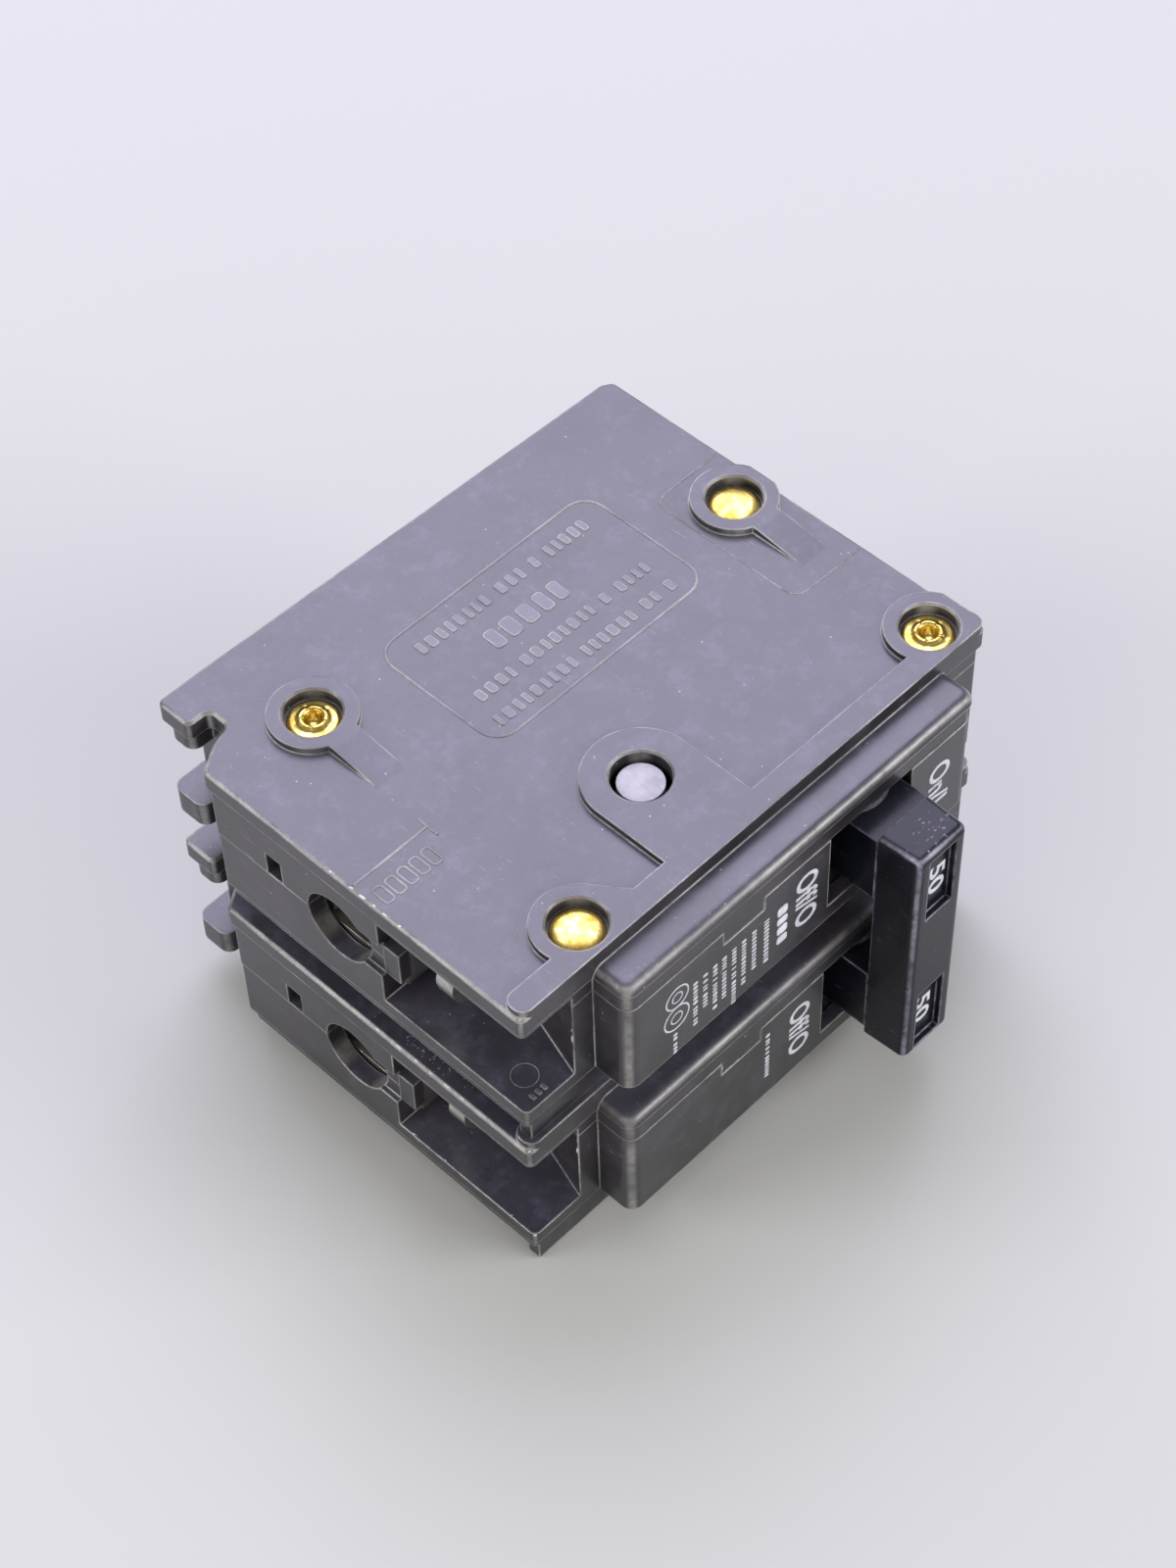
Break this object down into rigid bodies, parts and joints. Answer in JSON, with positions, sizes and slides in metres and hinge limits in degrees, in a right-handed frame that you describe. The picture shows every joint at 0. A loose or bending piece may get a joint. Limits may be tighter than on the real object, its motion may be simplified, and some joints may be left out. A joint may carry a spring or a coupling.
{
  "type": "circuit breaker",
  "caption": "Plug-in common-trip circuit breaker in a black moulded case, lying on its side, with tied toggle handles, screw lugs for the load wires and bus jaws.",
  "frame": {"origin": "middle of the bounding box, at the underside the part lies on", "axes": "+Z runs across the poles, -Y is the front with the handles, -X is the wiring end, +X the bus-jaw end, +Y the panel side"},
  "size_m": [0.0762, 0.0762, 0.0508],
  "materials": {
    "moulding": "moulded, satin, lightly worn",
    "handle_plastic": "moulded, glossy",
    "steel_grey": "stamped, dull",
    "plated_lug": "tin plated",
    "zinc_steel": "zinc plated",
    "copper_bar": "drawn copper",
    "silver_button": "pressed silver alloy",
    "tinned_copper": "tin plated",
    "spring_steel": "drawn wire",
    "bimetal_strip": "rolled",
    "braid_copper": "braided wire",
    "fibre_sheet": "pressed fibre",
    "rivet_brass": "yellow passivated",
    "bar_plastic": "moulded"
  },
  "bodies": {
    "housing": {"case_cover_a": "moulding", "case_base_a": "moulding", "cradle_pin_a": "steel_grey", "terminal_lug_a": "plated_lug", "fixed_contact_a": "silver_button", "line_strap_a": "tinned_copper", "jaw_spring_a": "spring_steel", "main_spring_a": "spring_steel", "load_strap_a": "tinned_copper", "bimetal_a": "bimetal_strip", "magnet_yoke_a": "steel_grey", "calibration_screw_a": "zinc_steel", "flex_braid_a": "braid_copper", "arc_plates_a": "steel_grey", "arc_shield_a": "fibre_sheet", "case_cover_b": "moulding", "case_base_b": "moulding", "cradle_pin_b": "steel_grey", "terminal_lug_b": "plated_lug", "fixed_contact_b": "silver_button", "line_strap_b": "tinned_copper", "jaw_spring_b": "spring_steel", "main_spring_b": "spring_steel", "load_strap_b": "tinned_copper", "bimetal_b": "bimetal_strip", "magnet_yoke_b": "steel_grey", "calibration_screw_b": "zinc_steel", "flex_braid_b": "braid_copper", "arc_plates_b": "steel_grey", "arc_shield_b": "fibre_sheet", "rivets_head_up": "rivet_brass", "rivets_tail_up": "rivet_brass"},
    "handles": {"toggle_handle_a": "handle_plastic", "toggle_handle_b": "handle_plastic", "handle_tie": "handle_plastic"},
    "trip_shaft": {"trip_bar": "bar_plastic"},
    "arm_a": {"contact_arm_a": "copper_bar", "moving_contact_a": "silver_button"},
    "cradle_a": {"trip_cradle_a": "steel_grey"},
    "flap_a": {"armature_a": "steel_grey"},
    "screw_a": {"binding_screw_a": "zinc_steel"},
    "arm_b": {"contact_arm_b": "copper_bar", "moving_contact_b": "silver_button"},
    "cradle_b": {"trip_cradle_b": "steel_grey"},
    "flap_b": {"armature_b": "steel_grey"},
    "screw_b": {"binding_screw_b": "zinc_steel"}
  },
  "joints": [
    {"name": "handle_toggle", "type": "hinge", "parent": "housing", "child": "handles", "pos_m": [0.0142, -0.0237, 0.0381], "axis": [0, 0, 1], "range_deg": [-27, 12]},
    {"name": "cradle_a_trip", "type": "hinge", "parent": "housing", "child": "cradle_a", "pos_m": [-0.0056, -0.0103, 0.0359], "axis": [0, 0, 1], "range_deg": [0, 11]},
    {"name": "cradle_b_trip", "type": "hinge", "parent": "housing", "child": "cradle_b", "pos_m": [-0.0056, -0.0103, 0.0105], "axis": [0, 0, 1], "range_deg": [0, 11]},
    {"name": "trip_bar_turn", "type": "hinge", "parent": "housing", "child": "trip_shaft", "pos_m": [-0.0046, 0.0063, 0.0381], "axis": [0, 0, 1], "range_deg": [-8, 0], "stiffness_Nm_per_rad": 0.02},
    {"name": "arm_a_swing", "type": "hinge", "parent": "housing", "child": "arm_a", "pos_m": [0.0104, -0.0132, 0.0381], "axis": [0, 0, 1], "range_deg": [-7.2, 16.2], "deforming": ["main_spring_a"]},
    {"name": "armature_a_tilt", "type": "hinge", "parent": "housing", "child": "flap_a", "pos_m": [-0.0093, 0.0173, 0.0381], "axis": [0, 0, 1], "range_deg": [-4, 0], "stiffness_Nm_per_rad": 0.02},
    {"name": "screw_a_back_out", "type": "slide", "parent": "housing", "child": "screw_a", "axis": [0, -1, 0], "range_m": [0, 0.004]},
    {"name": "arm_b_swing", "type": "hinge", "parent": "housing", "child": "arm_b", "pos_m": [0.0104, -0.0132, 0.0127], "axis": [0, 0, 1], "range_deg": [-7.2, 16.2], "deforming": ["main_spring_b"]},
    {"name": "armature_b_tilt", "type": "hinge", "parent": "housing", "child": "flap_b", "pos_m": [-0.0093, 0.0173, 0.0127], "axis": [0, 0, 1], "range_deg": [-4, 0], "stiffness_Nm_per_rad": 0.02},
    {"name": "screw_b_back_out", "type": "slide", "parent": "housing", "child": "screw_b", "axis": [0, -1, 0], "range_m": [0, 0.004]}
  ],
  "couplings": [
    {"joint": "arm_a_swing", "follows": "handle_toggle", "ratio": -0.6},
    {"joint": "arm_b_swing", "follows": "handle_toggle", "ratio": -0.6},
    {"joint": "cradle_b_trip", "follows": "cradle_a_trip", "ratio": 1},
    {"joint": "armature_a_tilt", "follows": "trip_bar_turn", "ratio": 0.5},
    {"joint": "armature_b_tilt", "follows": "trip_bar_turn", "ratio": 0.5}
  ]
}
